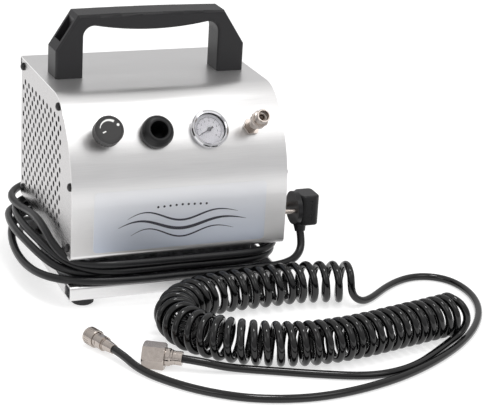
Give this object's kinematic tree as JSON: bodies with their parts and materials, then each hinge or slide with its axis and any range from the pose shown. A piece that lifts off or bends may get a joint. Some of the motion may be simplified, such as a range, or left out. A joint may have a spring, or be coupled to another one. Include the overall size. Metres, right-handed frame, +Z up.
{
  "type": "airbrush compressor",
  "caption": "Small tankless airbrush compressor with a curved sheet cover, carry handle, gauge, regulator knob, holder cup, wound mains lead and a coiled air hose.",
  "frame": {"origin": "centre of the footprint of the compressor without its lead and hose, on the surface that it stands on", "axes": "+Z up, the controls face -Y, +X to the right of someone facing the controls"},
  "size_m": [0.4358, 0.5192, 0.264],
  "materials": {
    "cover_satin": "satin",
    "tray_satin": "satin",
    "bright_sheet": "bright perforated sheet",
    "plain_sheet": "plain sheet",
    "black_screw": "black oxide",
    "rubber": "soft black",
    "label_foil": "printed foil",
    "handle_plastic": "fine grained black",
    "regulator_zinc": "die cast",
    "nickel": "nickel plate",
    "knob_plastic": "satin dark grey",
    "cup_rubber": "glossy black rubber",
    "black_ring": "black",
    "gauge_black": "black",
    "gauge_chrome": "polished",
    "dial_face": "pale printed face",
    "needle_black": "dark grey",
    "lens": "clear",
    "frame_steel": "grey paint",
    "laminations": "stacked sheet",
    "windings": "varnished copper wire",
    "piston_steel": "ground",
    "ring_ptfe": "piston ring",
    "spring_steel": "spring wire",
    "cylinder_alu": "machined fins",
    "filter_black": "moulded",
    "air_line": "blue nylon tube",
    "lead_pvc": "black flexible sheath",
    "hose_pu": "glossy black tube"
  },
  "bodies": {
    "housing": {"air_manifold": "regulator_zinc", "air_tubes": "air_line", "base_tray": "tray_satin", "carry_handle": "handle_plastic", "chassis_plate": "plain_sheet", "coil_cores": "laminations", "cord_gland": "rubber", "cover_shell": "cover_satin", "cylinder_head": "regulator_zinc", "foot_screws": "black_screw", "gauge_bezel": "gauge_chrome", "gauge_case": "gauge_black", "gauge_clamp": "plain_sheet", "gauge_dial": "dial_face", "gauge_lens": "lens", "gauge_stem": "nickel", "handle_screws": "black_screw", "head_screws": "black_screw", "holder_clip": "black_ring", "holder_cup": "cup_rubber", "hose_coil": "hose_pu", "hose_tail_high": "hose_pu", "hose_tail_low": "hose_pu", "intake_filter": "filter_black", "label_plate": "label_foil", "large_fitting": "nickel", "large_nut": "nickel", "mains_lead": "lead_pvc", "mains_plug": "lead_pvc", "mount_screws": "black_screw", "outlet_fitting": "nickel", "outlet_nuts": "nickel", "panel_brackets": "plain_sheet", "panel_screws": "black_screw", "plinth_wall": "plain_sheet", "plug_pins": "nickel", "pump_coils": "windings", "pump_cylinder": "cylinder_alu", "pump_frame": "frame_steel", "rear_panel": "plain_sheet", "rear_screws": "black_screw", "regulator_body": "regulator_zinc", "regulator_nut": "nickel", "rocker_frame": "black_ring", "rubber_feet": "rubber", "rubber_mounts": "rubber", "side_panel_left": "bright_sheet", "side_panel_right": "bright_sheet", "small_fitting": "nickel", "small_nut": "nickel", "spring_left": "spring_steel", "spring_right": "spring_steel", "terminal_block": "black_ring"},
    "regulator": {"regulator_spindle": "nickel", "regulator_knob": "knob_plastic"},
    "needle": {"gauge_needle": "needle_black"},
    "rocker": {"rocker_button": "black_ring"},
    "piston": {"pump_piston": "piston_steel", "piston_ring": "ring_ptfe"},
    "collar": {"outlet_collar": "nickel"}
  },
  "joints": [
    {"name": "regulator_turn", "type": "hinge", "parent": "housing", "child": "regulator", "pos_m": [-0.075, -0.0728, 0.16726], "axis": [0, -0.8221, 0.5693], "range_deg": [-135, 135]},
    {"name": "gauge_needle_turn", "type": "hinge", "parent": "housing", "child": "needle", "pos_m": [0.0315, -0.0728, 0.16726], "axis": [0, -0.8221, 0.5693], "range_deg": [-250, 0], "stiffness_Nm_per_rad": 0.00002, "springref_deg": 28.65},
    {"name": "switch_rock", "type": "hinge", "parent": "housing", "child": "rocker", "pos_m": [-0.062, 0.10148, 0.096], "axis": [0, 0, 1], "range_deg": [0, 18]},
    {"name": "piston_stroke", "type": "slide", "parent": "housing", "child": "piston", "axis": [1, 0, 0], "range_m": [-0.006, 0.006], "stiffness_N_per_m": 3000, "deforming": ["spring_left", "spring_right"]},
    {"name": "collar_pull", "type": "slide", "parent": "housing", "child": "collar", "axis": [0, 0.8221, -0.5693], "range_m": [0, 0.0028], "stiffness_N_per_m": 500, "springref_m": -0.002}
  ]
}
